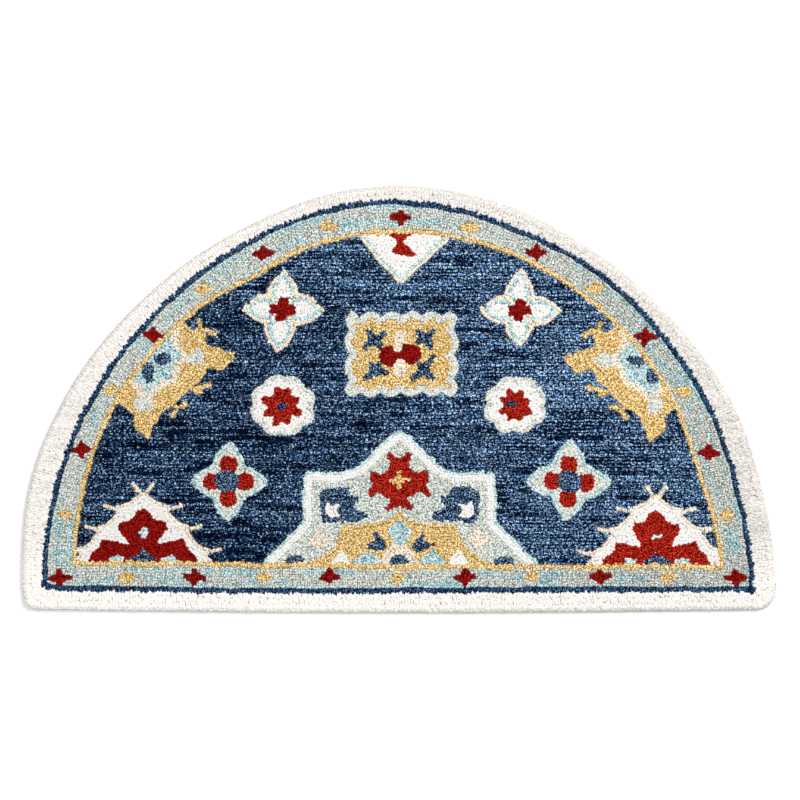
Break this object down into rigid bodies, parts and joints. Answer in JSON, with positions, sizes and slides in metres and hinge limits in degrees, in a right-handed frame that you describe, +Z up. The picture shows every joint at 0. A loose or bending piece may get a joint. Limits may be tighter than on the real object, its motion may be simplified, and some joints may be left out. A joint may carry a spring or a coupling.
{
  "type": "half-moon hand-tufted rug",
  "caption": "Flat half-moon hearth rug of hand-tufted wool pile, with a straight edge that lies against a hearth, door or wall and a bowed edge that faces the room.",
  "frame": {"origin": "under the middle of the rug's box, on the flat underside", "axes": "+X along the straight edge, +Y from the straight edge towards the top of the bow, +Z up through the pile"},
  "size_m": [1.1678, 0.6614, 0.012],
  "materials": {
    "tufted_wool": "tufted wool loops, heathered navy field with an ivory edge band, grey-green border, red, gold, aqua and white motifs"
  },
  "bodies": {
    "root": {"tufted_rug": "tufted_wool"}
  },
  "joints": []
}
